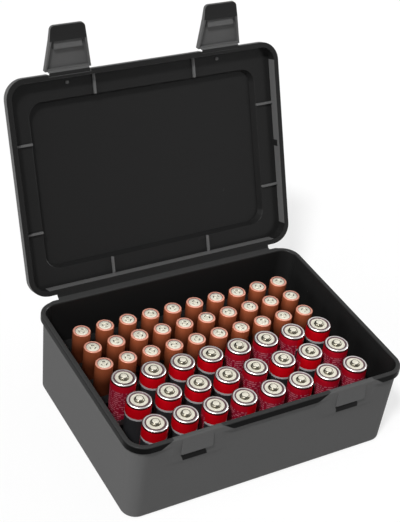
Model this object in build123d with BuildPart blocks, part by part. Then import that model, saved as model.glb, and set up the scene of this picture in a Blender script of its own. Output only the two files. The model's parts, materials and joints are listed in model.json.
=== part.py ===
from build123d import *
import os
from math import atan, cos, degrees, radians, sin

os.makedirs("parts", exist_ok=True)

# A hinged case for AA and AAA cells, moulded in one shot of black polypropylene: a deep tub, a dished
# lid and two snap latches, joined by thin webs that fold. A loose egg-crate tray holds the cells upright.
# Millimetres. The origin is the centre of the tub's underside, +X runs along the front towards the
# right, +Y towards the fold at the back, +Z up. The lid is modelled standing open.

# ---- tub ----
rim_width = 172.6           # outside of the rim band, left to right
rim_depth = 126.5           # outside of the rim band, front to back
tub_height = 54.5
rim_radius = 11.5           # rim band, seen from above
band_height = 4.5           # smooth band round the mouth of the tub
band_overhang = 1.5         # how far the band stands out from the wall below it
wall = 1.5
floor = 1.6
wall_lean = 1.5             # each side wall leans in by this much from band to foot
foot_fillet = 1.4

# ---- fold between tub and lid ----
fold_reach = 1.74           # from the tub's rim to the fold line
fold_width = 142.0
web_thickness = 0.8         # at its root; the web tapers to nothing at the fold line
lid_opening = 112.4         # angle of the standing lid from shut, in degrees

# ---- lid ----
lid_width = 174.2
lid_depth = 124.96
lid_radius = 11.5
seat_gap = 0.2              # between the two rims when shut
lid_band_height = 4.5
lid_land = 3.1              # width of the lid's rim, outside to inside
lid_wall_inset = 1.5        # the lid's wall behind its band
lid_skin = 1.6
ledge_depth = 6.5           # from the fold plane to the ledge round the panel
panel_depth = 10.7          # from the fold plane to the sunk panel
panel_width = 146.0
panel_length = 96.5
panel_radius = 9.0
panel_step_lean = 1.6       # the panel's step leans in by this much
panel_centre = 63.25        # from the fold line to the middle of the panel
rib_thickness = 1.4
rib_height = 1.5
rib_x = 32.0                # ribs at the front and back of the ledge
rib_s = (38.0, 89.0)        # ribs at the sides of the ledge, from the fold line
nub_radius = 1.0
nub_setback = 6.4           # from the lid's front edge to the middle of a nub
nub_height = 0.8
detent_length = 4.0         # a short bump on each side wall of the lid, which grips the tub's rim
detent_s = 64.0
detent_reach = 0.35

# ---- latches and catches ----
latch_x = 48.2              # centre of each latch, left and right
latch_tilt = 16.0           # open latches lean this much towards the inside of the lid, in degrees
latch_pivot_gap = 0.6       # fold line of a latch, in front of the lid's band
latch_pivot_rise = 1.0      # and above the fold plane of the lid
latch_root_width = 28.0
latch_shoulder_width = 22.4
latch_tip_width = 20.4
latch_start = 0.2           # edge of the plate, from its fold line
latch_shoulder = 17.5
latch_length = 26.0
latch_tip_radius = 2.6
latch_border = 1.3          # raised border along both sides of the plate
latch_skin = 1.4
latch_gap = 0.4             # shut plate's border to the tub's band
latch_flare = 1.2           # the finger tip stands off by this much
latch_web_width = 24.8
latch_web_thickness = 0.7
notch_width = 25.4
notch_depth = 1.4
hook_width = 17.0
hook_land = 1.1
hook_ramp = 3.4
hook_clearance = 0.45       # under the catch's ledge
catch_width = 18.4
catch_ledge_z = 43.2
catch_reach = 1.4           # lip of the catch, out from the tub's band
catch_relief = 0.25         # how far the underside rises outwards
lip_clearance = 0.75        # catch's lip to the plate's floor
pad_width = 28.0            # swelling of the wall that carries the catch
pad_flat_z = 40.0           # flush with the band down to here
pad_end_z = 33.0            # faded into the wall here

# ---- cells: AA in the front rows, AAA in the back rows ----
aa_diameter = 14.3
aa_length = 50.2
aa_nub_diameter = 5.4
aa_nub_height = 1.3
aa_columns = 8
aa_rows = "abc"
aa_pitch_x = 18.1
aa_pitch_y = 18.85
aa_centre_y = -25.3
aaa_diameter = 10.3
aaa_length = 44.5
aaa_columns = 10
aaa_rows = "def"
aaa_pitch_x = 14.65
aaa_pitch_y = 14.94
aaa_centre_y = 27.2

# ---- tray ----
tray_clearance = 0.4        # tray to the tub's wall, and cell to the tray's hole, all round
tray_top = 27.0
tray_plate = 1.6
tray_skirt = 1.4

# ---- places that follow ----
fold_y = rim_depth / 2 + fold_reach
band_face_y = -rim_depth / 2
wall_top_width = rim_width - 2 * band_overhang
wall_top_depth = rim_depth - 2 * band_overhang
wall_top_radius = rim_radius - band_overhang
draft = degrees(atan(wall_lean / tub_height))
lid_front = fold_reach + lid_depth
lid_centre = fold_reach + lid_depth / 2
band_top = seat_gap + lid_band_height

# Frames. In the lid's frame x runs along the case, -y runs from the fold line to the lid's front edge,
# and z points out of the lid's back, which is up when it is shut.
opening = radians(lid_opening)
lid_plane = Plane(origin=(0, fold_y, tub_height), x_dir=(1, 0, 0), z_dir=(0, sin(opening), cos(opening)))
latch_s = lid_front + latch_pivot_gap


def latch_plane(x):
    """Frame of a latch on its fold line: y points back from its tip, z out of its outer face."""
    tilt = radians(latch_tilt)
    outward = lid_plane.z_dir * cos(tilt) - lid_plane.y_dir * sin(tilt)
    corner = lid_plane.from_local_coords(Vector(x, -latch_s, latch_pivot_rise))
    return Plane(origin=corner, x_dir=(1, 0, 0), z_dir=outward)


def side_plane(frame, x):
    """The plane across a frame's x axis at x, with the frame's y and z as its own x and y."""
    return Plane(origin=frame.from_local_coords(Vector(x, 0, 0)), x_dir=frame.y_dir, z_dir=frame.x_dir)


# ---- tub: drafted walls, a smooth band round the mouth, pads with catches at the front ----
with BuildPart() as tub:
    with BuildSketch(Plane.XY.offset(tub_height)):
        RectangleRounded(wall_top_width, wall_top_depth, wall_top_radius)
    extrude(amount=-tub_height, taper=draft)
    fillet(tub.faces().sort_by(Axis.Z)[0].edges(), foot_fillet)
    with BuildSketch(Plane.XY.offset(tub_height - band_height)):
        RectangleRounded(rim_width, rim_depth, rim_radius)
    extrude(amount=band_height)
    # Each pad swells from the wall to the face of the band, and carries a wedge with a ledge under it.
    for x in (-latch_x, latch_x):
        with BuildSketch(Plane.YZ.offset(x - pad_width / 2)):
            Polygon(
                (band_face_y + band_overhang + wall, tub_height),
                (band_face_y, tub_height),
                (band_face_y, pad_flat_z),
                (band_face_y + band_overhang + wall, pad_end_z),
                align=None,
            )
        extrude(amount=pad_width)
        with BuildSketch(Plane.YZ.offset(x - catch_width / 2)):
            Polygon(
                (band_face_y + band_overhang, tub_height),
                (band_face_y, tub_height),
                (band_face_y - catch_reach, catch_ledge_z + catch_relief),
                (band_face_y, catch_ledge_z),
                (band_face_y + band_overhang, catch_ledge_z),
                align=None,
            )
        extrude(amount=catch_width)
    # The hollow leans like the outside, so that the wall keeps its thickness.
    with BuildSketch(Plane.XY.offset(tub_height)):
        RectangleRounded(wall_top_width - 2 * wall, wall_top_depth - 2 * wall, wall_top_radius - wall)
    extrude(amount=-(tub_height - floor), taper=draft, mode=Mode.SUBTRACT)
    # Half of the folding web.
    with BuildSketch(Plane.YZ.offset(-fold_width / 2)):
        Polygon(
            (rim_depth / 2 - wall, tub_height),
            (fold_y, tub_height),
            (rim_depth / 2, tub_height - web_thickness),
            (rim_depth / 2 - wall, tub_height - web_thickness),
            align=None,
        )
    extrude(amount=fold_width)

# ---- lid: band, ledge and sunk panel, with ribs on the ledge and a notch behind each latch ----
panel_draft = degrees(atan(panel_step_lean / (panel_depth - ledge_depth)))
ledge_outside = ledge_depth + lid_skin
panel_outside = panel_depth + lid_skin
hollow_width = lid_width - 2 * lid_land
hollow_depth = lid_depth - 2 * lid_land

with BuildPart() as lid:
    with BuildSketch(lid_plane.offset(seat_gap)):
        with Locations((0, -lid_centre)):
            RectangleRounded(lid_width, lid_depth, lid_radius)
    extrude(amount=lid_band_height)
    with BuildSketch(lid_plane.offset(band_top)):
        with Locations((0, -lid_centre)):
            RectangleRounded(
                lid_width - 2 * lid_wall_inset, lid_depth - 2 * lid_wall_inset, lid_radius - lid_wall_inset
            )
    extrude(amount=ledge_outside - band_top)
    with BuildSketch(lid_plane.offset(ledge_outside)):
        with Locations((0, -panel_centre)):
            RectangleRounded(panel_width + 2 * lid_skin, panel_length + 2 * lid_skin, panel_radius + lid_skin)
    extrude(amount=panel_outside - ledge_outside, taper=panel_draft)
    with BuildSketch(lid_plane.offset(seat_gap)):
        with Locations((0, -lid_centre)):
            RectangleRounded(hollow_width, hollow_depth, lid_radius - lid_land)
    extrude(amount=ledge_depth - seat_gap, mode=Mode.SUBTRACT)
    with BuildSketch(lid_plane.offset(ledge_depth)):
        with Locations((0, -panel_centre)):
            RectangleRounded(panel_width, panel_length, panel_radius)
    extrude(amount=panel_depth - ledge_depth, taper=panel_draft, mode=Mode.SUBTRACT)
    # Ribs across the ledge: two at the front, two at the back and two at each side.
    panel_front = panel_centre + panel_length / 2
    panel_back = panel_centre - panel_length / 2
    hollow_front = lid_front - lid_land
    hollow_back = fold_reach + lid_land
    with BuildSketch(lid_plane.offset(ledge_depth)):
        for x in (-rib_x, rib_x):
            for near, far in ((hollow_back, panel_back), (panel_front, hollow_front)):
                with Locations((x, -(near + far) / 2)):
                    Rectangle(rib_thickness, far - near)
        for s in rib_s:
            for side in (-1, 1):
                with Locations((side * (panel_width + hollow_width) / 4, -s)):
                    Rectangle((hollow_width - panel_width) / 2, rib_thickness)
    extrude(amount=-rib_height)
    # A locating nub in front of each latch, and a bump on each side wall.
    with BuildSketch(lid_plane.offset(ledge_depth)):
        with Locations((-latch_x, nub_setback - lid_front), (latch_x, nub_setback - lid_front)):
            Circle(nub_radius)
    extrude(amount=-nub_height)
    with BuildSketch(lid_plane.offset(seat_gap + lid_band_height / 2)):
        with Locations((-hollow_width / 2, -detent_s), (hollow_width / 2, -detent_s)):
            Rectangle(2 * detent_reach, detent_length)
    extrude(amount=ledge_depth - seat_gap - lid_band_height / 2)
    # Notches in the band, each with half of its latch's web.
    with BuildSketch(lid_plane.offset(seat_gap)):
        with Locations((-latch_x, -lid_front), (latch_x, -lid_front)):
            Rectangle(notch_width, 2 * notch_depth)
    extrude(amount=lid_band_height, mode=Mode.SUBTRACT)
    for x in (-latch_x, latch_x):
        with BuildSketch(side_plane(lid_plane, x - latch_web_width / 2)):
            Polygon(
                (-latch_s, latch_pivot_rise),
                (notch_depth - lid_front, latch_pivot_rise + latch_web_thickness / 2),
                (notch_depth + wall / 2 - lid_front, latch_pivot_rise + latch_web_thickness / 2),
                (notch_depth + wall / 2 - lid_front, latch_pivot_rise - latch_web_thickness / 2),
                (notch_depth - lid_front, latch_pivot_rise - latch_web_thickness / 2),
                align=None,
            )
        extrude(amount=latch_web_width)
    # Half of the folding web.
    with BuildSketch(side_plane(lid_plane, -fold_width / 2)):
        Polygon(
            (0, 0),
            (-fold_reach, seat_gap + web_thickness),
            (-fold_reach - lid_land / 2, seat_gap + web_thickness),
            (-fold_reach - lid_land / 2, seat_gap),
            (-fold_reach, seat_gap),
            align=None,
        )
    extrude(amount=fold_width)

# ---- latches: a bordered plate with a hook across it and a flared finger tip ----
# Depths from the fold line, outwards when the latch is shut.
border_face = (rim_depth + fold_reach - latch_s) + latch_gap
plate_floor = (rim_depth + fold_reach - latch_s) + catch_reach + lip_clearance
plate_outside = plate_floor + latch_skin
hook_start = tub_height + latch_pivot_rise - catch_ledge_z + hook_clearance
hook_end = hook_start + hook_land + hook_ramp


def make_latch(x):
    """One latch on its fold line at x, leaning in with the lid open."""
    frame = latch_plane(x)
    floor_plane = frame.offset(plate_floor)
    with BuildPart() as latch:
        # Outline of the plate, as thick as its border.
        with BuildSketch(frame.offset(border_face)) as outline:
            with BuildLine():
                Polyline(
                    (-latch_root_width / 2, -latch_start),
                    (-latch_shoulder_width / 2, -latch_shoulder),
                    (-latch_tip_width / 2, -latch_length),
                    (latch_tip_width / 2, -latch_length),
                    (latch_shoulder_width / 2, -latch_shoulder),
                    (latch_root_width / 2, -latch_start),
                    close=True,
                )
            make_face()
            fillet(outline.vertices().group_by(Axis.Y)[0], latch_tip_radius)
        extrude(amount=plate_outside - border_face)
        # The floor between the borders is sunk, up to the hook.
        with BuildSketch(floor_plane):
            with BuildLine():
                Polyline(
                    (-latch_root_width / 2 + latch_border, -latch_start - latch_border),
                    (-latch_shoulder_width / 2 + latch_border, -latch_shoulder),
                    (latch_shoulder_width / 2 - latch_border, -latch_shoulder),
                    (latch_root_width / 2 - latch_border, -latch_start - latch_border),
                    close=True,
                )
            make_face()
        extrude(amount=-(plate_floor - border_face), mode=Mode.SUBTRACT)
        # The hook stands on the floor. Its face towards the fold line catches under the ledge.
        with BuildSketch(side_plane(frame, -hook_width / 2)):
            Polygon(
                (-hook_start, plate_floor + latch_skin / 2),
                (-hook_start, border_face),
                (-hook_start - hook_land, border_face),
                (-hook_end, plate_floor),
                (-hook_end, plate_floor + latch_skin / 2),
                align=None,
            )
        extrude(amount=hook_width)
        # The finger tip is pared away on the inside, so that a nail gets under it.
        with BuildSketch(side_plane(frame, -latch_root_width / 2)):
            Polygon(
                (-latch_shoulder, border_face),
                (-latch_length, border_face + latch_flare),
                (-latch_length, border_face),
                align=None,
            )
        extrude(amount=latch_root_width, mode=Mode.SUBTRACT)
        # Half of the folding web, up to the plate's inner corner.
        with BuildSketch(side_plane(frame, -latch_web_width / 2)):
            Polygon(
                (0, 0),
                (-latch_start, border_face),
                (-latch_start, border_face + latch_web_thickness),
                (-latch_start - latch_web_thickness, border_face + latch_web_thickness),
                (-latch_start - latch_web_thickness, border_face),
                align=None,
            )
        extrude(amount=latch_web_width)
    return latch.part


latch_left = make_latch(-latch_x)
latch_right = make_latch(latch_x)


# ---- cells ----
def cell_places(rows, columns, pitch_x, pitch_y, centre_y):
    """Name ending and place of each cell: rows are lettered from the front, columns run left to right."""
    for j, row in enumerate(rows):
        for i in range(columns):
            x = (i - (columns - 1) / 2) * pitch_x
            y = centre_y + (j - (len(rows) - 1) / 2) * pitch_y
            yield f"{row}{i + 1}", x, y


aa_places = list(cell_places(aa_rows, aa_columns, aa_pitch_x, aa_pitch_y, aa_centre_y))
aaa_places = list(cell_places(aaa_rows, aaa_columns, aaa_pitch_x, aaa_pitch_y, aaa_centre_y))


def make_can(x, y, diameter, height):
    """A plain can standing on the tub's floor, flat at both ends."""
    with BuildPart() as can:
        with BuildSketch(Plane.XY.offset(floor)):
            with Locations((x, y)):
                Circle(diameter / 2)
        extrude(amount=height)
    return can.part


def make_nubbed_cell(x, y):
    """An AA cell with its nub up."""
    with BuildPart() as cell:
        add(make_can(x, y, aa_diameter, aa_length - aa_nub_height))
        with BuildSketch(Plane.XY.offset(floor + aa_length - aa_nub_height)):
            with Locations((x, y)):
                Circle(aa_nub_diameter / 2)
        extrude(amount=aa_nub_height)
    return cell.part


# ---- tray: a plate with a square hole for each cell, on a skirt and cross walls between the rows ----
cavity_lean = 2 * wall_lean * (tub_height - floor) / tub_height
tray_width = wall_top_width - 2 * wall - cavity_lean - 2 * tray_clearance
tray_depth = wall_top_depth - 2 * wall - cavity_lean - 2 * tray_clearance
tray_radius = wall_top_radius - wall - cavity_lean / 2 - tray_clearance
row_ys = sorted({y for _, _, y in aa_places} | {y for _, _, y in aaa_places})
aa_hole = aa_diameter + 2 * tray_clearance
aaa_hole = aaa_diameter + 2 * tray_clearance
row_radii = [aa_diameter / 2 if y < (aa_centre_y + aaa_centre_y) / 2 else aaa_diameter / 2 for y in row_ys]

with BuildPart() as cell_tray:
    with BuildSketch(Plane.XY.offset(floor)):
        RectangleRounded(tray_width, tray_depth, tray_radius)
        offset(amount=-tray_skirt, mode=Mode.SUBTRACT)
        # Each cross wall runs midway between the cells of two rows.
        for k in range(len(row_ys) - 1):
            front_edge = row_ys[k] + row_radii[k]
            back_edge = row_ys[k + 1] - row_radii[k + 1]
            with Locations((0, (front_edge + back_edge) / 2)):
                Rectangle(tray_width - tray_skirt, tray_skirt)
    extrude(amount=tray_top - tray_plate - floor)
    with BuildSketch(Plane.XY.offset(tray_top - tray_plate)):
        RectangleRounded(tray_width, tray_depth, tray_radius)
        with Locations([(x, y) for _, x, y in aa_places]):
            Rectangle(aa_hole, aa_hole, mode=Mode.SUBTRACT)
        with Locations([(x, y) for _, x, y in aaa_places]):
            Rectangle(aaa_hole, aaa_hole, mode=Mode.SUBTRACT)
    extrude(amount=tray_plate)

# ---- labels and files ----
pieces = {
    "tub": tub.part,
    "lid": lid.part,
    "latch_left": latch_left,
    "latch_right": latch_right,
    "cell_tray": cell_tray.part,
}
for place, x, y in aa_places:
    pieces[f"cell_aa_{place}"] = make_nubbed_cell(x, y)
# The AAA cells stand on their nubs, which are out of sight and left off.
for place, x, y in aaa_places:
    pieces[f"cell_aaa_{place}"] = make_can(x, y, aaa_diameter, aaa_length)

for name, piece in pieces.items():
    piece.label = name
    export_step(piece, f"parts/{name}.step")
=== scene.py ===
import json
from math import atan2, cos, degrees, radians, sin

import bmesh
import bpy
from mathutils import Matrix, Quaternion, Vector


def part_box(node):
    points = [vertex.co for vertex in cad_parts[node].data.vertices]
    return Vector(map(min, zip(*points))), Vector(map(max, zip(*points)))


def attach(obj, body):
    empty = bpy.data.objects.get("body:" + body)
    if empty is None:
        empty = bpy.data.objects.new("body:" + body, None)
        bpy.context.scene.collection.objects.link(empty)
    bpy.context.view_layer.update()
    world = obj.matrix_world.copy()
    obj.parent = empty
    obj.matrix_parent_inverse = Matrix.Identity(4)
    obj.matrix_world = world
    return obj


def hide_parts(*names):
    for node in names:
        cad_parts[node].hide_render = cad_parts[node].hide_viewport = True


# A black moulded case for AA and AAA cells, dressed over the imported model. Metres, as the frame is.

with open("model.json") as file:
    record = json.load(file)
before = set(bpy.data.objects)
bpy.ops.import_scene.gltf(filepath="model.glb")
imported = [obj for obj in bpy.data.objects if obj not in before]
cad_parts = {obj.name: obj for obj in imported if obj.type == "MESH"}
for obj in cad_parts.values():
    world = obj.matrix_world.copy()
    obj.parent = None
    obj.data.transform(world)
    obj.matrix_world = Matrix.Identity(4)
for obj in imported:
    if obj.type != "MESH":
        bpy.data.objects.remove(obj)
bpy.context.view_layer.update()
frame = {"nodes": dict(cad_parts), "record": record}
nodes = frame["nodes"]
MM = 0.001
UP = Vector((0, 0, 1))

# ---- places read from the frame ----
tub_low, tub_high = (Vector(corner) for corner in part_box("tub"))
joints = {joint["name"]: joint for joint in frame["record"]["behaviour"]["joints"]}
fold_place = Vector(joints["lid_fold"]["pos_m"])
lid_opening = radians(-joints["lid_fold"]["range_deg"][0])
lid_back = Vector((0, sin(lid_opening), cos(lid_opening)))
lid_along = Vector((0, -cos(lid_opening), sin(lid_opening)))
latch_folds = {side: Vector(joints[f"latch_{side}_fold"]["pos_m"]) for side in ("left", "right")}
latch_offset = latch_folds["right"].x
cell_names = [name[len("cell_"):] for name in nodes if name.startswith("cell_aa")]
cell_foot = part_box("cell_aa_a1")[0][2]

# ---- tub: real sizes that its finish and painted shadows follow, depths counted back from the catches' fronts ----
BAND_HEIGHT = 4.5 * MM          # dark band round the mouth: the rim's polished face, with painted shadow under its overhang
BAND_SHADOW_TAPER = 9.0 * MM           # the band and its painted shadow run out over this length beside a pad
MASK_EDGE = 0.3 * MM            # soft edge between polish and texture
SIDE_START = (4.0 * MM, 5.0 * MM)       # depth over which the front's finish gives way to the sides'
PAD_HALF_WIDTH = 14.0 * MM      # half of each textured pad in the band
PAD_FLANK = 8.0 * MM            # each pad's side blends into the wall over this width
PAD_RISE = 2.6 * MM             # depth that is past the pads and within the wall
PAD_ROOT = (1.5 * MM, 9.6 * MM)         # depths between which the pads' sides meet the wall
PAD_ROOT_ABOVE_FOOT = 20.0 * MM
PAD_ROOT_BELOW_MOUTH = 1.0 * MM
CATCH_SHADOW_TOP = 42.4 * MM
CATCH_SHADOW = (14.5 * MM, 6.8 * MM)      # painted shadow that each catch's ledge casts on the wall below it
CATCH_SHADOW_SHIFT = -2.2 * MM            # from the middle of the catch
CATCH_SHADOW_SLANT = 0.45

# ---- lid and latches: real sizes that their finishes follow ----
LID_MIDDLE = 64.0 * MM          # from the fold line to the middle of the lid
LID_HOLLOW_DEPTH = 11.0 * MM    # from the fold plane to within the sunk panel
LID_RIM_DEPTH = 5.0 * MM        # from the fold plane to the foot of the lid's outer rim
RIB_DEPTHS = (4.8 * MM, 6.4 * MM)       # from the fold plane to the ribs and nubs on the ledge
LATCH_TIP_START = 17.4 * MM     # from a latch's fold line to its pared finger tip

# ---- roundings of the mouldings ----
RIM_ROUND = 1.0 * MM            # the tub's mouth
RIM_TOP_EDGE = 0.05 * MM        # the rounding counts as flat this far below the mouth
EDGE_ROUND = 0.3 * MM           # other edges of tub and lid
LATCH_EDGE_ROUND = 0.2 * MM
BELOW_MOUTH = 1.5 * MM          # the plain roundings start this far below the mouth
FOLD_STRIP = 1.8 * MM           # edges nearer than this to the lid's fold stay sharp
LATCH_FOLD_STRIP = 1.2 * MM     # and to a latch's fold
ROUNDED_EDGES = (radians(40), radians(125))     # an edge between these angles is rounded
WELD = 0.005 * MM               # points nearer than this become one
FLAT = radians(1)               # and faces that meet within this angle
MOULDING_SMOOTH = radians(35)   # a moulding's faces shade smoothly across edges up to this angle
CAN_SMOOTH = radians(50)        # and a can's
NEAR = 0.1 * MM                 # two places this near count as the same

# ---- view: the camera's place in the object's frame ----
CAMERA_PLACE = Vector((-0.31773, -0.45445, 0.50825))
CAMERA_TARGET = Vector((-0.0079, 0.0193, 0.0965))
CAMERA_ROLL = radians(7.74)
CAMERA_LENS = 87.55

# ---- room ----
FILL_STRENGTH = 0.3             # light of the room on dull surfaces
SIDE_GLOW = (0.25, 0.7)         # how far sideways a mirrored ray turns from the grey room to the white lamps
FLOOR_GLOW = 0.72               # share of white glow in the floor where it is seen
FLOOR_SIZE = 8.0
FLOOR_DROP = 0.3 * MM           # keeps the floor clear of the tub's underside


# ---- helpers ----
def tint(code):
    """A hex sRGB colour as a linear RGBA tuple."""
    channels = [int(code[i:i + 2], 16) / 255 for i in (1, 3, 5)]
    linear = [c / 12.92 if c <= 0.04045 else ((c + 0.055) / 1.055) ** 2.4 for c in channels]
    return (*linear, 1)


def add_node(tree, kind, settings=None, values=None, links=None):
    """Adds a shader node, with its settings, its input values and the outputs that feed its inputs."""
    node = tree.nodes.new(kind)
    for name, value in (settings or {}).items():
        setattr(node, name, value)
    for socket, value in (values or {}).items():
        node.inputs[socket].default_value = value
    for socket, output in (links or {}).items():
        tree.links.new(output, node.inputs[socket])
    return node


def new_material(name):
    """An empty material and its node tree."""
    material = bpy.data.materials.new(name)
    material.use_nodes = True
    material.node_tree.nodes.clear()
    return material, material.node_tree


def math_node(tree, operation, *inputs):
    """The output of a Math node, whose inputs are numbers or other outputs."""
    values = {i: v for i, v in enumerate(inputs) if isinstance(v, (int, float))}
    links = {i: v for i, v in enumerate(inputs) if not isinstance(v, (int, float))}
    return add_node(tree, "ShaderNodeMath", {"operation": operation}, values, links).outputs[0]


def one_minus(tree, value):
    return math_node(tree, "SUBTRACT", 1.0, value)


def distance_from(tree, value, place):
    """How far a value lies from a place, which is a number or another output."""
    return math_node(tree, "ABSOLUTE", math_node(tree, "SUBTRACT", value, place))


def ramp_up(tree, value, low, high):
    """0 below low, 1 above high, and a smooth step between."""
    step = add_node(
        tree, "ShaderNodeMapRange", {"interpolation_type": "SMOOTHSTEP"},
        {"From Min": low, "From Max": high}, {"Value": value},
    )
    return step.outputs[0]


def mix_colours(tree, factor, first, second):
    """Blend of two colours, each a tuple or an output."""
    values, links = {}, {0: factor}
    for socket, colour in ((6, first), (7, second)):
        (values if isinstance(colour, tuple) else links)[socket] = colour
    return add_node(tree, "ShaderNodeMix", {"data_type": "RGBA"}, values, links).outputs[2]


def mix_numbers(tree, factor, first, second):
    """Blend of two numbers."""
    values = {2: first, 3: second}
    return add_node(tree, "ShaderNodeMix", {"data_type": "FLOAT"}, values, {0: factor}).outputs[0]


def split(tree, vector):
    """The x, y and z outputs of a vector."""
    return add_node(tree, "ShaderNodeSeparateXYZ", None, None, {"Vector": vector}).outputs


def object_place(tree):
    """The place of a point in the object's own frame."""
    return add_node(tree, "ShaderNodeTexCoord").outputs["Object"]


def finish_material(tree, values, links):
    """Closes a material with its surface shader."""
    shader = add_node(tree, "ShaderNodeBsdfPrincipled", None, values, links)
    add_node(tree, "ShaderNodeOutputMaterial", None, None, {"Surface": shader.outputs[0]})


def only(piece):
    """Selects one object alone and makes it the active one."""
    bpy.ops.object.select_all(action="DESELECT")
    piece.select_set(True)
    bpy.context.view_layer.objects.active = piece


# ---- camera ----
camera_data = bpy.data.cameras.new("view_camera")
camera_data.sensor_width = 36
camera_data.lens = CAMERA_LENS
camera = bpy.data.objects.new("view_camera", camera_data)
camera.location = CAMERA_PLACE
sight = (CAMERA_TARGET - CAMERA_PLACE).to_track_quat("-Z", "Y")
camera.rotation_euler = (sight @ Quaternion(UP, CAMERA_ROLL)).to_euler()
bpy.context.scene.collection.objects.link(camera)
bpy.context.scene.camera = camera
bpy.context.scene.view_settings.view_transform = "Standard"


# ---- light: a key from the left front above, wide soft lamps at both sides, and an even room ----
def add_sun(name, direction, strength, spread):
    """A distant lamp that shines along a direction, soft by its spread in degrees."""
    data = bpy.data.lights.new(name, "SUN")
    data.energy = strength
    data.angle = radians(spread)
    lamp = bpy.data.objects.new(name, data)
    lamp.rotation_euler = Vector(direction).to_track_quat("-Z", "Y").to_euler()
    bpy.context.scene.collection.objects.link(lamp)


add_sun("key_light", (1.5, 1.0, -2.7), 3.1, 8)
add_sun("side_light", (1.0, 0.15, -0.25), 1.6, 40)
add_sun("edge_light", (-1.0, 0.12, -0.2), 1.8, 30)


def seen_rays(tree):
    """1 for rays that see the room itself: straight, mirrored or through glass."""
    path = add_node(tree, "ShaderNodeLightPath").outputs
    mirrored = math_node(tree, "MAXIMUM", path["Is Camera Ray"], path["Is Glossy Ray"])
    return math_node(tree, "MAXIMUM", mirrored, path["Is Transmission Ray"])


def mix_shaders(tree, factor, first, second):
    """Blend of two shader nodes."""
    links = {0: factor, 1: first.outputs[0], 2: second.outputs[0]}
    return add_node(tree, "ShaderNodeMixShader", None, None, links)


def make_room():
    """A white backdrop and a weak even fill, mirrored in grey and white."""
    world = bpy.data.worlds.new("studio")
    bpy.context.scene.world = world
    world.use_nodes = True
    tree = world.node_tree
    tree.nodes.clear()
    white = {"Color": tint("#ffffff")}
    fill = add_node(tree, "ShaderNodeBackground", None, {**white, "Strength": FILL_STRENGTH})
    backdrop = add_node(tree, "ShaderNodeBackground", None, {**white, "Strength": 1.0})
    # Mirrored, the room is white at both sides, where the large lamps are, and grey between them.
    outlook = add_node(tree, "ShaderNodeTexCoord").outputs["Generated"]
    at_sides = ramp_up(tree, math_node(tree, "ABSOLUTE", split(tree, outlook)[0]), *SIDE_GLOW)
    colour = mix_colours(tree, at_sides, tint("#a8a8a8"), tint("#ffffff"))
    lamps_and_room = add_node(tree, "ShaderNodeBackground", None, {"Strength": 1.0}, {"Color": colour})
    paths = add_node(tree, "ShaderNodeLightPath")
    seen_room = mix_shaders(tree, paths.outputs["Is Camera Ray"], lamps_and_room, backdrop)
    room = mix_shaders(tree, seen_rays(tree), fill, seen_room)
    add_node(tree, "ShaderNodeOutputWorld", None, None, {"Surface": room.outputs[0]})


def make_floor():
    """A plain pale floor that glows to white where it is seen and still keeps the object's shadow."""
    bpy.ops.object.select_all(action="DESELECT")
    bpy.ops.mesh.primitive_plane_add(size=FLOOR_SIZE, location=(0, 0, -FLOOR_DROP))
    floor = bpy.context.object
    floor.name = "studio_floor"
    material, tree = new_material("pale_floor_paper")
    paper = add_node(tree, "ShaderNodeBsdfDiffuse", None, {"Color": tint("#e6e6e6")})
    glow = add_node(tree, "ShaderNodeEmission", None, {"Color": tint("#ffffff"), "Strength": 1.0})
    share = math_node(tree, "MULTIPLY", seen_rays(tree), FLOOR_GLOW)
    blend = mix_shaders(tree, share, paper, glow)
    add_node(tree, "ShaderNodeOutputMaterial", None, None, {"Surface": blend.outputs[0]})
    floor.data.materials.append(material)


make_room()
make_floor()


# ---- materials of the case: one black polypropylene, as the mould left it ----
def grain_bump(tree, coordinates, grain, height, strength):
    """Grain of a given width, as a value and as a bump.

    The mould's finest grain is drawn coarser than it is, so that it shows.
    """
    noise = add_node(
        tree, "ShaderNodeTexNoise", None, {"Scale": 1 / grain, "Detail": 3.0, "Roughness": 0.6},
        {"Vector": coordinates},
    )
    bump = add_node(
        tree, "ShaderNodeBump", None, {"Strength": strength, "Distance": height}, {"Height": noise.outputs[0]}
    )
    return noise.outputs[0], bump.outputs[0]


def textured_polypropylene():
    """Polypropylene from a spark-eroded mould face: dark grey, flat and even, with a fine dry grain."""
    material, tree = new_material("textured_polypropylene")
    noise, normal = grain_bump(tree, object_place(tree), 0.5 * MM, 0.05 * MM, 0.35)
    colour = mix_colours(tree, noise, tint("#434343"), tint("#4a4a4a"))
    finish_material(
        tree, {"Roughness": 0.62, "Specular IOR Level": 0.25}, {"Base Color": colour, "Normal": normal}
    )
    return material


def polished_polypropylene():
    """Polypropylene from a polished mould face: nearly black, with a soft gloss and faint flow waves."""
    material, tree = new_material("polished_polypropylene")
    waves, normal = grain_bump(tree, object_place(tree), 14 * MM, 0.4 * MM, 0.05)
    rough = mix_numbers(tree, waves, 0.2, 0.3)
    finish_material(
        tree, {"Base Color": tint("#1a1a1a"), "Specular IOR Level": 0.15},
        {"Roughness": rough, "Normal": normal},
    )
    return material


def satin_polypropylene():
    """Small ribs and nubs, cut in the mould and not polished: a lighter grey satin against the dark ledge."""
    material, tree = new_material("satin_polypropylene")
    noise, normal = grain_bump(tree, object_place(tree), 1.2 * MM, 0.05 * MM, 0.2)
    colour = mix_colours(tree, noise, tint("#4c4c4c"), tint("#565656"))
    finish_material(
        tree, {"Roughness": 0.42, "Specular IOR Level": 0.25}, {"Base Color": colour, "Normal": normal}
    )
    return material


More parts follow.
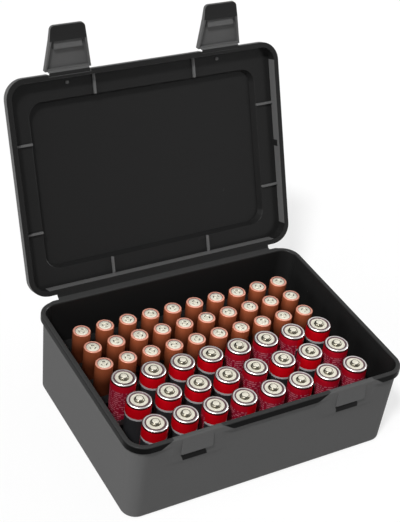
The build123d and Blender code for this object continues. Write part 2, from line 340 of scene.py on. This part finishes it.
def mouth_band_and_shadow(tree, x, z, off_front):
    """1 in the band round the tub's mouth, polish and painted shadow under the rim's overhang: whole off the
    front, and run out beside each pad in front, where the painted shadow narrows.
    """
    aside = distance_from(tree, math_node(tree, "ABSOLUTE", x), latch_offset)
    whole = math_node(
        tree, "MAXIMUM", off_front, ramp_up(tree, aside, PAD_HALF_WIDTH, PAD_HALF_WIDTH + BAND_SHADOW_TAPER)
    )
    lift = math_node(tree, "MULTIPLY", one_minus(tree, whole), BAND_HEIGHT)
    band_foot = tub_high.z - BAND_HEIGHT
    in_height = ramp_up(tree, math_node(tree, "SUBTRACT", z, lift), band_foot - MASK_EDGE, band_foot)
    beside_pad = ramp_up(tree, aside, PAD_HALF_WIDTH, PAD_HALF_WIDTH + 2 * MASK_EDGE)
    along_mouth = math_node(tree, "MAXIMUM", off_front, beside_pad)
    return math_node(tree, "MULTIPLY", in_height, along_mouth)


def catch_shadows(tree, x, z):
    """1 in the slanted patch of painted shadow that each catch's ledge casts on the wall below it."""
    width, height = CATCH_SHADOW
    drop = math_node(tree, "SUBTRACT", CATCH_SHADOW_TOP, z)
    below_foot = ramp_up(tree, drop, height - MASK_EDGE, height + MASK_EDGE)
    in_height = math_node(tree, "MULTIPLY", ramp_up(tree, drop, 0, MASK_EDGE), one_minus(tree, below_foot))
    slant = math_node(tree, "MULTIPLY", drop, CATCH_SHADOW_SLANT)
    shadow_masks = []
    for catch in (-latch_offset, latch_offset):
        middle = math_node(tree, "ADD", slant, catch + CATCH_SHADOW_SHIFT)
        past_end = ramp_up(tree, distance_from(tree, x, middle), width / 2 - MASK_EDGE, width / 2 + MASK_EDGE)
        shadow_masks.append(one_minus(tree, past_end))
    return math_node(tree, "MULTIPLY", math_node(tree, "MAXIMUM", *shadow_masks), in_height)


def outside_polypropylene():
    """The tub's outside: textured walls and pads, a near-black band between the pads round the mouth that is
    polish and painted shadow, and a painted shadow below each catch.
    """
    material, tree = new_material("outside_polypropylene")
    place = object_place(tree)
    noise, normal = grain_bump(tree, place, 0.5 * MM, 0.05 * MM, 0.35)
    x, y, z = split(tree, place)
    off_front = ramp_up(tree, y, *(tub_low.y + depth for depth in SIDE_START))
    band = mouth_band_and_shadow(tree, x, z, off_front)
    # Painted shadow: the dark slanted patch that each catch's ledge casts on the front wall below it.
    shadow_masks = math_node(tree, "MULTIPLY", catch_shadows(tree, x, z), one_minus(tree, off_front))
    # Mask of the polish and of the painted shadows under the rim and below the catches.
    polished = math_node(tree, "MAXIMUM", band, shadow_masks)
    # On top the rim is drawn dull, and its rounded edges fade into the polish; the dull grey on the rounding
    # also serves as a painted highlight along the mouth's edge.
    on_top = ramp_up(tree, z, tub_high.z - RIM_ROUND, tub_high.z - RIM_TOP_EDGE)
    # Near black where the band and catch shadows are painted; lighter grey on the dull rim top.
    smooth = mix_colours(tree, on_top, tint("#050505"), tint("#323232"))
    textured = mix_colours(tree, noise, tint("#484848"), tint("#4f4f4f"))
    colour = mix_colours(tree, polished, textured, smooth)
    rough = mix_numbers(tree, polished, 0.62, 0.3)
    finish_material(
        tree, {"Specular IOR Level": 0.03}, {"Base Color": colour, "Roughness": rough, "Normal": normal}
    )
    return material


TEXTURED = textured_polypropylene()
POLISHED = polished_polypropylene()
SATIN = satin_polypropylene()
OUTSIDE = outside_polypropylene()
OUTER_FACE, INNER_FACE, RIB_FACE = 0, 1, 2      # places in a moulding's row of finishes


# ---- mouldings: the CAD pieces with whole faces, rounded edges and their finishes ----
def dressed_copy(node_name, name, finishes, finish_of, roundings, reshape=None):
    """A CAD node's form with finishes by face and its outward edges rounded, as a moulding's are."""
    piece = bpy.data.objects.new(name, nodes[node_name].data.copy())
    bpy.context.scene.collection.objects.link(piece)
    only(piece)
    piece.data.materials.clear()
    for finish in finishes:
        piece.data.materials.append(finish)
    bpy.ops.object.mode_set(mode="EDIT")
    bpy.ops.mesh.select_all(action="SELECT")
    bpy.ops.mesh.customdata_custom_splitnormals_clear()
    bpy.ops.mesh.remove_doubles(threshold=WELD)
    bpy.ops.mesh.dissolve_limited(angle_limit=FLAT)
    bpy.ops.object.mode_set(mode="OBJECT")
    for face in piece.data.polygons:
        face.material_index = finish_of(face.center, face.normal)
    if reshape:
        for point in piece.data.vertices:
            point.co = reshape(point.co)
    bpy.ops.object.mode_set(mode="EDIT")
    bpy.ops.mesh.select_mode(type="EDGE")
    for width, segments, wanted in roundings:
        round_edges(piece, width, segments, wanted)
    bpy.ops.object.mode_set(mode="OBJECT")
    bpy.ops.object.shade_smooth_by_angle(angle=MOULDING_SMOOTH)
    smoothing = piece.modifiers.new("even_faces", "WEIGHTED_NORMAL")
    smoothing.keep_sharp = True
    bpy.ops.object.modifier_apply(modifier=smoothing.name)
    return piece


def round_edges(piece, width, segments, wanted):
    """Rounds the outward edges in the wanted places. Knife edges stay, so that half webs meet at a fold."""
    bpy.ops.mesh.select_all(action="DESELECT")
    mesh = bmesh.from_edit_mesh(piece.data)
    for edge in mesh.edges:
        middle = (edge.verts[0].co + edge.verts[1].co) / 2
        if len(edge.link_faces) == 2 and wanted(middle):
            edge.select_set(ROUNDED_EDGES[0] < edge.calc_face_angle_signed() < ROUNDED_EDGES[1])
    bmesh.update_edit_mesh(piece.data)
    bpy.ops.mesh.bevel(offset=width, segments=segments, affect="EDGES", clamp_overlap=False)


def tub_finish(centre, normal):
    """Polished within the hollow, and the outside's own finish elsewhere."""
    inward = centre.x * normal.x + centre.y * normal.y < 0 and abs(normal.z) < 0.5
    inward = inward and centre.y > tub_low.y + PAD_RISE
    on_floor = normal.z > 0.9 and centre.z < tub_high.z / 2
    return INNER_FACE if inward or on_floor else OUTER_FACE


def tub_reshape(place):
    """The pads' sides run out along the wall, as the moulded swellings do."""
    aside = abs(place.x) - latch_offset
    at_pad_depth = PAD_ROOT[0] < place.y - tub_low.y < PAD_ROOT[1]
    at_pad_height = tub_low.z + PAD_ROOT_ABOVE_FOOT < place.z < tub_high.z - PAD_ROOT_BELOW_MOUTH
    if at_pad_depth and at_pad_height and abs(abs(aside) - PAD_HALF_WIDTH) < NEAR:
        outwards = (1 if aside > 0 else -1) * (1 if place.x > 0 else -1)
        return place + Vector((outwards * PAD_FLANK, 0, 0))
    return place


def at_tub_mouth(place):
    return place.z > tub_high.z - NEAR and place.y < fold_place.y - FOLD_STRIP


def below_tub_mouth(place):
    return place.z < tub_high.z - BELOW_MOUTH and place.y < fold_place.y - FOLD_STRIP


def lid_finish(centre, normal):
    """Polished within the lid and on its rim, satin on the ribs and nubs, textured outside."""
    depth = (centre - fold_place).dot(lid_back)
    along = (centre - fold_place).dot(lid_along)
    facing = normal.dot(lid_back)
    outwards = Vector((centre.x, 0, 0)) + lid_along * (along - LID_MIDDLE)
    inward = normal.dot(outwards) < 0 and depth < LID_HOLLOW_DEPTH
    outer_side = abs(facing) < 0.5 and not inward
    if facing > 0.5 or (outer_side and depth < LID_RIM_DEPTH):
        return OUTER_FACE
    if RIB_DEPTHS[0] < depth < RIB_DEPTHS[1]:
        return RIB_FACE
    return OUTER_FACE if outer_side else INNER_FACE


def off_lid_fold(place):
    return (place - fold_place).dot(lid_along) > FOLD_STRIP


def latch_run(place):
    """Distance of a point from its latch's fold line."""
    fold = latch_folds["left" if place.x < 0 else "right"]
    return (place - Vector((place.x, fold.y, fold.z))).length


def latch_finish(centre, normal):
    """Textured, but polished inside the finger tip."""
    inside_tip = normal.y < -0.5 and latch_run(centre) > LATCH_TIP_START
    return INNER_FACE if inside_tip else OUTER_FACE


def off_latch_fold(place):
    return latch_run(place) > LATCH_FOLD_STRIP


tub = dressed_copy(
    "tub", "tub_moulding", (OUTSIDE, POLISHED), tub_finish,
    ((RIM_ROUND, 4, at_tub_mouth), (EDGE_ROUND, 2, below_tub_mouth)), tub_reshape,
)
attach(tub, "case")
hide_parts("tub")

lid = dressed_copy(
    "lid", "lid_moulding", (TEXTURED, POLISHED, SATIN), lid_finish, ((EDGE_ROUND, 2, off_lid_fold),)
)
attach(lid, "lid")
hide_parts("lid")

for side in ("left", "right"):
    latch = dressed_copy(
        f"latch_{side}", f"latch_{side}_moulding", (TEXTURED, POLISHED), latch_finish,
        ((LATCH_EDGE_ROUND, 2, off_latch_fold),),
    )
    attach(latch, f"latch_{side}")
    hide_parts(f"latch_{side}")

tray = nodes["cell_tray"]
tray.data.materials.clear()
tray.data.materials.append(POLISHED)


# ---- films and metals of the cells ----
JACKET_TOP = 50.0 * MM          # the AA film's fields are shares of this height
# The top field of both rows, a dark red line just under the ring, is painted shade where the film meets the
# shoulder.
AA_FRONT_FIELDS = ((0.0, "#2b2b2d"), (0.822, "#a8a8aa"), (0.848, "#b80010"), (0.984, "#3a0a0c"))
AA_SEAM_FIELDS = ((0.0, "#2b2b2d"), (0.3, "#8c0a26"), (0.9, "#a4081e"), (0.984, "#3a0a0c"))
SEAM_TURN = (0.27, 0.29)        # share of a turn from the film's middle to its seam side
RULE_LINES = 36                 # rule lines up the film, 1.4 mm apart
RULE_MARKS = 60                 # places where a line can break, 0.75 mm apart round the film
RULE_TOP = 0.9                  # the lines stop at this share of the film's height
RULE_BREAKS = 0.45              # share of the places where a line is broken
RULE_WEIGHT = 0.42              # share of the line spacing that a line fills
RULE_INK = 0.4                  # how strongly the lines are printed
COPPER_SHADE = (33.0 * MM, 46.0 * MM)   # painted shade: heights between which the copper film grows lighter, darker lower down in the case


def plated_steel(name, colour, roughness, metallic=1.0):
    """Pressed steel with a thin plating or lacquer, a little uneven in its gloss."""
    material, tree = new_material(name)
    noise, normal = grain_bump(tree, object_place(tree), 1.5 * MM, 0.02 * MM, 0.03)
    rough = mix_numbers(tree, noise, roughness - 0.05, roughness + 0.08)
    finish_material(
        tree, {"Base Color": tint(colour), "Metallic": metallic}, {"Roughness": rough, "Normal": normal}
    )
    return material


def height_bands(tree, height, bands):
    """Flat colours by height: pairs of a lower edge and a colour, from the foot up."""
    ramp = add_node(tree, "ShaderNodeValToRGB", None, None, {"Fac": height})
    elements = ramp.color_ramp.elements
    ramp.color_ramp.interpolation = "CONSTANT"
    while len(elements) < len(bands):
        elements.new(0.5)
    for element, (edge, code) in zip(elements, bands):
        element.position = edge
        element.color = tint(code)
    return ramp.outputs["Color"]


def rule_lines(tree, turn, height):
    """1 on fine rule lines round the film, broken at random."""
    line = math_node(tree, "MULTIPLY", height, RULE_LINES)
    mark = add_node(tree, "ShaderNodeCombineXYZ", None, None, {
        0: math_node(tree, "FLOOR", math_node(tree, "MULTIPLY", turn, RULE_MARKS)),
        1: math_node(tree, "FLOOR", line),
    })
    chance = add_node(
        tree, "ShaderNodeTexWhiteNoise", {"noise_dimensions": "2D"}, None, {"Vector": mark.outputs[0]}
    )
    unbroken = math_node(tree, "GREATER_THAN", chance.outputs[0], RULE_BREAKS)
    in_line = math_node(tree, "LESS_THAN", math_node(tree, "FRACT", line), RULE_WEIGHT)
    below_top = math_node(tree, "LESS_THAN", height, RULE_TOP)
    return math_node(tree, "MULTIPLY", math_node(tree, "MULTIPLY", unbroken, in_line), below_top)


def aa_jacket_film():
    """Shrunk film printed in plain fields: red over a silver line over charcoal, and crimson at the seam."""
    material, tree = new_material("red_printed_film")
    source = add_node(tree, "ShaderNodeTexCoord")
    height = math_node(tree, "DIVIDE", split(tree, source.outputs["Object"])[2], JACKET_TOP)
    turn = split(tree, source.outputs["UV"])[0]
    front = height_bands(tree, height, AA_FRONT_FIELDS)
    seam = height_bands(tree, height, AA_SEAM_FIELDS)
    ink = math_node(tree, "MULTIPLY", rule_lines(tree, turn, height), RULE_INK)
    seam = mix_colours(tree, ink, seam, tint("#e8a0b0"))
    at_seam = ramp_up(tree, distance_from(tree, turn, 0.5), *SEAM_TURN)
    colour = mix_colours(tree, at_seam, front, seam)
    finish_material(
        tree, {"Roughness": 0.32, "Specular IOR Level": 0.5, "Metallic": 0.25}, {"Base Color": colour}
    )
    return material


def aaa_jacket_film():
    """Shrunk film with a copper-brown metallic print, darker towards the foot as painted shade inside the
    case.
    """
    material, tree = new_material("copper_printed_film")
    # Painted shade: the film darkens towards the foot.
    lit = ramp_up(tree, split(tree, object_place(tree))[2], *COPPER_SHADE)
    colour = mix_colours(tree, lit, tint("#48200f"), tint("#a05434"))
    finish_material(
        tree, {"Roughness": 0.38, "Specular IOR Level": 0.5, "Metallic": 0.35}, {"Base Color": colour}
    )
    return material


AA_FILM = aa_jacket_film()
AAA_FILM = aaa_jacket_film()
# Bright nickel plate on the pressed ring of an AA cell's end.
RING_NICKEL = plated_steel("nickel_plated_steel", "#f0eeec", 0.33)
# Sealing lacquer in the groove round the contact.
GROOVE_LACQUER = plated_steel("mauve_sealing_lacquer", "#5c4248", 0.45, 0.2)
# Dull nickel plate, warm in tone, on the contact discs.
DISC_NICKEL = plated_steel("cream_nickel_disc", "#dedaca", 0.5, 0.4)
# Steel drawn dark as painted shade on the flanks of a nub and in the discs' dimples.
STEEL_PAINTED_SHADE = plated_steel("nub_steel_painted_shade", "#7a766a", 0.25)
# Copper plate on the ring of an AAA cell's end.
COPPER_RING = plated_steel("copper_plated_ring", "#d99a86", 0.45, 0.3)


# ---- cells ----
def turned_can(name, radius, low, high, sides, steps):
    """A can on the Z axis whose top is stepped inwards ring by ring: each step is (inwards, up) in mm."""
    bpy.ops.object.select_all(action="DESELECT")
    bpy.ops.mesh.primitive_cylinder_add(
        vertices=sides, radius=radius, depth=high - low, location=(0, 0, (high + low) / 2)
    )
    can = bpy.context.object
    can.name = name
    bpy.ops.object.transform_apply(location=True, rotation=False, scale=False)
    bpy.context.tool_settings.mesh_select_mode = (False, False, True)
    for face in can.data.polygons:
        face.select = face.normal.z > 0.9
    bpy.ops.object.mode_set(mode="EDIT")
    for inwards, up in steps:
        bpy.ops.mesh.inset(thickness=inwards * MM, depth=up * MM)
    bpy.ops.object.mode_set(mode="OBJECT")
    bpy.ops.object.shade_smooth_by_angle(angle=CAN_SMOOTH)
    return can


def finish_rings(can, finishes, shoulder, edges):
    """Film on the side and a finish for each ring of the top. The edges are the rings' outer radii in mm."""
    for finish in finishes:
        can.data.materials.append(finish)
    for face in can.data.polygons:
        radius = Vector((face.center.x, face.center.y)).length
        face.material_index = sum(radius < edge * MM for edge in edges) if face.center.z > shoulder else 0


# Film edge, plated ring, sealed groove, contact disc and nub of an AA cell, from the shoulder inwards.
AA_RADIUS = 7.15 * MM
AA_SIDES = 48
AA_FILM_TOP = 49.9 * MM
AA_STEPS = (
    (0.12, 0.28), (0.25, 0), (0.15, 0.24), (0.2, 0.08), (0.62, 0), (0.15, -0.15),
    (0.2, -0.3), (0.5, 0), (0.15, 0.3), (1.85, 0),
    (0.3, 0.05), (0.05, 0.75), (0.25, 0.35), (0.55, 0.2), (0.2, 0.1),
)
AA_RING_EDGES = (6.8, 5.8, 4.85, 2.95, 1.9)

# Film edge, copper ring, shallow groove, disc, dimples and middle of an AAA cell, which stands nub down.
AAA_RADIUS = 5.15 * MM
AAA_SIDES = 42
AAA_FILM_TOP = 45.6 * MM
AAA_STEPS = (
    (0.08, 0.2), (0.1, 0), (0.05, 0.2), (0.1, 0.1), (0.95, 0), (0.15, -0.25), (0.15, 0), (0.15, 0.15),
    (1.5, 0), (0.15, -0.2), (0.4, 0), (0.15, 0.25), (0.6, 0.05),
)
AAA_RING_EDGES = (4.98, 3.85, 3.6, 1.9, 1.3)
DISC_RING, DIMPLE_RING = 3, 4   # places in an AAA cell's row of finishes

aa_master = turned_can("aa_master", AA_RADIUS, cell_foot, AA_FILM_TOP, AA_SIDES, AA_STEPS)
finish_rings(
    aa_master, (AA_FILM, RING_NICKEL, GROOVE_LACQUER, DISC_NICKEL, STEEL_PAINTED_SHADE, DISC_NICKEL),
    AA_FILM_TOP, AA_RING_EDGES,
)
aaa_master = turned_can("aaa_master", AAA_RADIUS, cell_foot, AAA_FILM_TOP, AAA_SIDES, AAA_STEPS)
finish_rings(
    aaa_master, (AAA_FILM, COPPER_RING, GROOVE_LACQUER, DISC_NICKEL, STEEL_PAINTED_SHADE, DISC_NICKEL),
    AAA_FILM_TOP, AAA_RING_EDGES,
)
# The dark painted shade in the dimpled ring round the AAA disc's middle is broken in three.
for face in aaa_master.data.polygons:
    sixth = int(degrees(atan2(face.center.y, face.center.x)) % 360 / 60)
    if face.material_index == DIMPLE_RING and sixth % 2:
        face.material_index = DISC_RING

FILM_FACE = -35                 # degrees that bring the middle of the red side to the camera
AAA_TURN = 47                   # degrees from each AAA cell to the next
# How far each AA cell is turned from showing its red side to the camera, in degrees, by row.
AA_TURNS = {
    "a": (30, 350, 60, 120, 180, 150, 200, 165),
    "b": (330, 10, 20, 5, 170, 340, 60, 190),
    "c": (165, 345, 10, 350, 190, 175, 130, 20),
}

for count, cell in enumerate(cell_names):
    kind, place_name = cell.split("_")
    low, high = (Vector(corner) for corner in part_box(f"cell_{cell}"))
    centre = (low + high) / 2
    row, column = place_name[0], int(place_name[1:])
    turn = radians(AA_TURNS[row][column - 1] + FILM_FACE if kind == "aa" else AAA_TURN * count)
    mesh = (aa_master if kind == "aa" else aaa_master).data.copy()
    mesh.transform(Matrix.Translation((centre.x, centre.y, 0)) @ Matrix.Rotation(turn, 4, "Z"))
    piece = bpy.data.objects.new(f"{kind}_cell_{place_name}", mesh)
    bpy.context.scene.collection.objects.link(piece)
    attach(piece, f"cell_{cell}")
    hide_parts(f"cell_{cell}")

for master in (aa_master, aaa_master):
    bpy.data.objects.remove(master)
